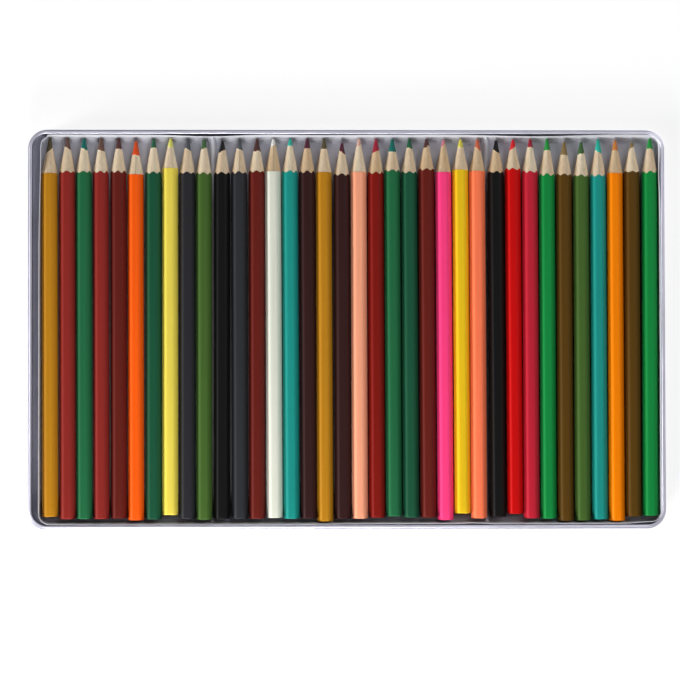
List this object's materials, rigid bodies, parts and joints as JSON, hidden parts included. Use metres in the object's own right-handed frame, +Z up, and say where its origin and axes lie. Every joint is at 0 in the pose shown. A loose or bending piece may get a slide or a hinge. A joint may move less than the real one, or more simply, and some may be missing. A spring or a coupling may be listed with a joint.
{
  "type": "coloured pencil tin",
  "caption": "Flat metal tin, open, holding one row of sharpened hexagonal coloured pencils in a ribbed plastic liner; its slip-over lid is upturned beneath the tray.",
  "frame": {"origin": "middle of the flat panel of the upturned lid, on the surface that the tin stands on", "axes": "+X along the tin's long side, from the first pencil to the last; +Y along the pencils towards their points; +Z up, out of the open tin"},
  "size_m": [0.2948, 0.1848, 0.0097],
  "materials": {
    "tinplate": "bright drawn tinplate, lightly scuffed",
    "liner_plastic": "thin thermoformed sheet, satin",
    "pencil_ochre": "gloss lacquer on a wooden casing, bare wood and coloured lead at the point",
    "pencil_brick": "gloss lacquer on a wooden casing, bare wood and coloured lead at the point",
    "pencil_leaf": "gloss lacquer on a wooden casing, bare wood and coloured lead at the point",
    "pencil_maroon": "gloss lacquer on a wooden casing, bare wood and coloured lead at the point",
    "pencil_orange": "gloss lacquer on a wooden casing, bare wood and coloured lead at the point",
    "pencil_fir": "gloss lacquer on a wooden casing, bare wood and coloured lead at the point",
    "pencil_lemon": "gloss lacquer on a wooden casing, bare wood and coloured lead at the point",
    "pencil_charcoal": "gloss lacquer on a wooden casing, bare wood and coloured lead at the point",
    "pencil_grass": "gloss lacquer on a wooden casing, bare wood and coloured lead at the point",
    "pencil_black": "gloss lacquer on a wooden casing, bare wood and coloured lead at the point",
    "pencil_slate": "gloss lacquer on a wooden casing, bare wood and coloured lead at the point",
    "pencil_russet": "gloss lacquer on a wooden casing, bare wood and coloured lead at the point",
    "pencil_white": "gloss lacquer on a wooden casing, bare wood and coloured lead at the point",
    "pencil_teal": "gloss lacquer on a wooden casing, bare wood and coloured lead at the point",
    "pencil_plum": "gloss lacquer on a wooden casing, bare wood and coloured lead at the point",
    "pencil_peach": "gloss lacquer on a wooden casing, bare wood and coloured lead at the point",
    "pencil_garnet": "gloss lacquer on a wooden casing, bare wood and coloured lead at the point",
    "pencil_pink": "gloss lacquer on a wooden casing, bare wood and coloured lead at the point",
    "pencil_gold": "gloss lacquer on a wooden casing, bare wood and coloured lead at the point",
    "pencil_coral": "gloss lacquer on a wooden casing, bare wood and coloured lead at the point",
    "pencil_scarlet": "gloss lacquer on a wooden casing, bare wood and coloured lead at the point",
    "pencil_crimson": "gloss lacquer on a wooden casing, bare wood and coloured lead at the point",
    "pencil_bright": "gloss lacquer on a wooden casing, bare wood and coloured lead at the point",
    "pencil_umber": "gloss lacquer on a wooden casing, bare wood and coloured lead at the point",
    "pencil_amber": "gloss lacquer on a wooden casing, bare wood and coloured lead at the point"
  },
  "bodies": {
    "lid": {"lid": "tinplate"},
    "tray": {"tray": "tinplate"},
    "liner": {"liner": "liner_plastic"},
    "pencil_01_ochre": {"pencil_01_ochre": "pencil_ochre"},
    "pencil_02_brick_red": {"pencil_02_brick_red": "pencil_brick"},
    "pencil_03_leaf_green": {"pencil_03_leaf_green": "pencil_leaf"},
    "pencil_04_brick_red": {"pencil_04_brick_red": "pencil_brick"},
    "pencil_05_maroon": {"pencil_05_maroon": "pencil_maroon"},
    "pencil_06_orange": {"pencil_06_orange": "pencil_orange"},
    "pencil_07_fir_green": {"pencil_07_fir_green": "pencil_fir"},
    "pencil_08_lemon_yellow": {"pencil_08_lemon_yellow": "pencil_lemon"},
    "pencil_09_charcoal": {"pencil_09_charcoal": "pencil_charcoal"},
    "pencil_10_grass_green": {"pencil_10_grass_green": "pencil_grass"},
    "pencil_11_black": {"pencil_11_black": "pencil_black"},
    "pencil_12_slate_blue": {"pencil_12_slate_blue": "pencil_slate"},
    "pencil_13_red_brown": {"pencil_13_red_brown": "pencil_russet"},
    "pencil_14_white": {"pencil_14_white": "pencil_white"},
    "pencil_15_teal": {"pencil_15_teal": "pencil_teal"},
    "pencil_16_plum_brown": {"pencil_16_plum_brown": "pencil_plum"},
    "pencil_17_ochre": {"pencil_17_ochre": "pencil_ochre"},
    "pencil_18_plum_brown": {"pencil_18_plum_brown": "pencil_plum"},
    "pencil_19_peach": {"pencil_19_peach": "pencil_peach"},
    "pencil_20_dark_red": {"pencil_20_dark_red": "pencil_garnet"},
    "pencil_21_leaf_green": {"pencil_21_leaf_green": "pencil_leaf"},
    "pencil_22_fir_green": {"pencil_22_fir_green": "pencil_fir"},
    "pencil_23_red_brown": {"pencil_23_red_brown": "pencil_russet"},
    "pencil_24_hot_pink": {"pencil_24_hot_pink": "pencil_pink"},
    "pencil_25_golden_yellow": {"pencil_25_golden_yellow": "pencil_gold"},
    "pencil_26_coral": {"pencil_26_coral": "pencil_coral"},
    "pencil_27_black": {"pencil_27_black": "pencil_black"},
    "pencil_28_scarlet": {"pencil_28_scarlet": "pencil_scarlet"},
    "pencil_29_crimson": {"pencil_29_crimson": "pencil_crimson"},
    "pencil_30_bright_green": {"pencil_30_bright_green": "pencil_bright"},
    "pencil_31_umber": {"pencil_31_umber": "pencil_umber"},
    "pencil_32_olive_green": {"pencil_32_olive_green": "pencil_grass"},
    "pencil_33_teal": {"pencil_33_teal": "pencil_teal"},
    "pencil_34_amber": {"pencil_34_amber": "pencil_amber"},
    "pencil_35_umber": {"pencil_35_umber": "pencil_umber"},
    "pencil_36_bright_green": {"pencil_36_bright_green": "pencil_bright"}
  },
  "joints": [
    {"name": "tray_lift", "type": "slide", "parent": "lid", "child": "tray", "axis": [0, 0, 1], "range_m": [0, 0.03]},
    {"name": "liner_lift", "type": "slide", "parent": "tray", "child": "liner", "axis": [0, 0, 1], "range_m": [0, 0.03]},
    {"name": "pencil_01_ochre_lift", "type": "slide", "parent": "liner", "child": "pencil_01_ochre", "axis": [0, 0, 1], "range_m": [0, 0.03]},
    {"name": "pencil_02_brick_red_lift", "type": "slide", "parent": "liner", "child": "pencil_02_brick_red", "axis": [0, 0, 1], "range_m": [0, 0.03]},
    {"name": "pencil_03_leaf_green_lift", "type": "slide", "parent": "liner", "child": "pencil_03_leaf_green", "axis": [0, 0, 1], "range_m": [0, 0.03]},
    {"name": "pencil_04_brick_red_lift", "type": "slide", "parent": "liner", "child": "pencil_04_brick_red", "axis": [0, 0, 1], "range_m": [0, 0.03]},
    {"name": "pencil_05_maroon_lift", "type": "slide", "parent": "liner", "child": "pencil_05_maroon", "axis": [0, 0, 1], "range_m": [0, 0.03]},
    {"name": "pencil_06_orange_lift", "type": "slide", "parent": "liner", "child": "pencil_06_orange", "axis": [0, 0, 1], "range_m": [0, 0.03]},
    {"name": "pencil_07_fir_green_lift", "type": "slide", "parent": "liner", "child": "pencil_07_fir_green", "axis": [0, 0, 1], "range_m": [0, 0.03]},
    {"name": "pencil_08_lemon_yellow_lift", "type": "slide", "parent": "liner", "child": "pencil_08_lemon_yellow", "axis": [0, 0, 1], "range_m": [0, 0.03]},
    {"name": "pencil_09_charcoal_lift", "type": "slide", "parent": "liner", "child": "pencil_09_charcoal", "axis": [0, 0, 1], "range_m": [0, 0.03]},
    {"name": "pencil_10_grass_green_lift", "type": "slide", "parent": "liner", "child": "pencil_10_grass_green", "axis": [0, 0, 1], "range_m": [0, 0.03]},
    {"name": "pencil_11_black_lift", "type": "slide", "parent": "liner", "child": "pencil_11_black", "axis": [0, 0, 1], "range_m": [0, 0.03]},
    {"name": "pencil_12_slate_blue_lift", "type": "slide", "parent": "liner", "child": "pencil_12_slate_blue", "axis": [0, 0, 1], "range_m": [0, 0.03]},
    {"name": "pencil_13_red_brown_lift", "type": "slide", "parent": "liner", "child": "pencil_13_red_brown", "axis": [0, 0, 1], "range_m": [0, 0.03]},
    {"name": "pencil_14_white_lift", "type": "slide", "parent": "liner", "child": "pencil_14_white", "axis": [0, 0, 1], "range_m": [0, 0.03]},
    {"name": "pencil_15_teal_lift", "type": "slide", "parent": "liner", "child": "pencil_15_teal", "axis": [0, 0, 1], "range_m": [0, 0.03]},
    {"name": "pencil_16_plum_brown_lift", "type": "slide", "parent": "liner", "child": "pencil_16_plum_brown", "axis": [0, 0, 1], "range_m": [0, 0.03]},
    {"name": "pencil_17_ochre_lift", "type": "slide", "parent": "liner", "child": "pencil_17_ochre", "axis": [0, 0, 1], "range_m": [0, 0.03]},
    {"name": "pencil_18_plum_brown_lift", "type": "slide", "parent": "liner", "child": "pencil_18_plum_brown", "axis": [0, 0, 1], "range_m": [0, 0.03]},
    {"name": "pencil_19_peach_lift", "type": "slide", "parent": "liner", "child": "pencil_19_peach", "axis": [0, 0, 1], "range_m": [0, 0.03]},
    {"name": "pencil_20_dark_red_lift", "type": "slide", "parent": "liner", "child": "pencil_20_dark_red", "axis": [0, 0, 1], "range_m": [0, 0.03]},
    {"name": "pencil_21_leaf_green_lift", "type": "slide", "parent": "liner", "child": "pencil_21_leaf_green", "axis": [0, 0, 1], "range_m": [0, 0.03]},
    {"name": "pencil_22_fir_green_lift", "type": "slide", "parent": "liner", "child": "pencil_22_fir_green", "axis": [0, 0, 1], "range_m": [0, 0.03]},
    {"name": "pencil_23_red_brown_lift", "type": "slide", "parent": "liner", "child": "pencil_23_red_brown", "axis": [0, 0, 1], "range_m": [0, 0.03]},
    {"name": "pencil_24_hot_pink_lift", "type": "slide", "parent": "liner", "child": "pencil_24_hot_pink", "axis": [0, 0, 1], "range_m": [0, 0.03]},
    {"name": "pencil_25_golden_yellow_lift", "type": "slide", "parent": "liner", "child": "pencil_25_golden_yellow", "axis": [0, 0, 1], "range_m": [0, 0.03]},
    {"name": "pencil_26_coral_lift", "type": "slide", "parent": "liner", "child": "pencil_26_coral", "axis": [0, 0, 1], "range_m": [0, 0.03]},
    {"name": "pencil_27_black_lift", "type": "slide", "parent": "liner", "child": "pencil_27_black", "axis": [0, 0, 1], "range_m": [0, 0.03]},
    {"name": "pencil_28_scarlet_lift", "type": "slide", "parent": "liner", "child": "pencil_28_scarlet", "axis": [0, 0, 1], "range_m": [0, 0.03]},
    {"name": "pencil_29_crimson_lift", "type": "slide", "parent": "liner", "child": "pencil_29_crimson", "axis": [0, 0, 1], "range_m": [0, 0.03]},
    {"name": "pencil_30_bright_green_lift", "type": "slide", "parent": "liner", "child": "pencil_30_bright_green", "axis": [0, 0, 1], "range_m": [0, 0.03]},
    {"name": "pencil_31_umber_lift", "type": "slide", "parent": "liner", "child": "pencil_31_umber", "axis": [0, 0, 1], "range_m": [0, 0.03]},
    {"name": "pencil_32_olive_green_lift", "type": "slide", "parent": "liner", "child": "pencil_32_olive_green", "axis": [0, 0, 1], "range_m": [0, 0.03]},
    {"name": "pencil_33_teal_lift", "type": "slide", "parent": "liner", "child": "pencil_33_teal", "axis": [0, 0, 1], "range_m": [0, 0.03]},
    {"name": "pencil_34_amber_lift", "type": "slide", "parent": "liner", "child": "pencil_34_amber", "axis": [0, 0, 1], "range_m": [0, 0.03]},
    {"name": "pencil_35_umber_lift", "type": "slide", "parent": "liner", "child": "pencil_35_umber", "axis": [0, 0, 1], "range_m": [0, 0.03]},
    {"name": "pencil_36_bright_green_lift", "type": "slide", "parent": "liner", "child": "pencil_36_bright_green", "axis": [0, 0, 1], "range_m": [0, 0.03]}
  ]
}
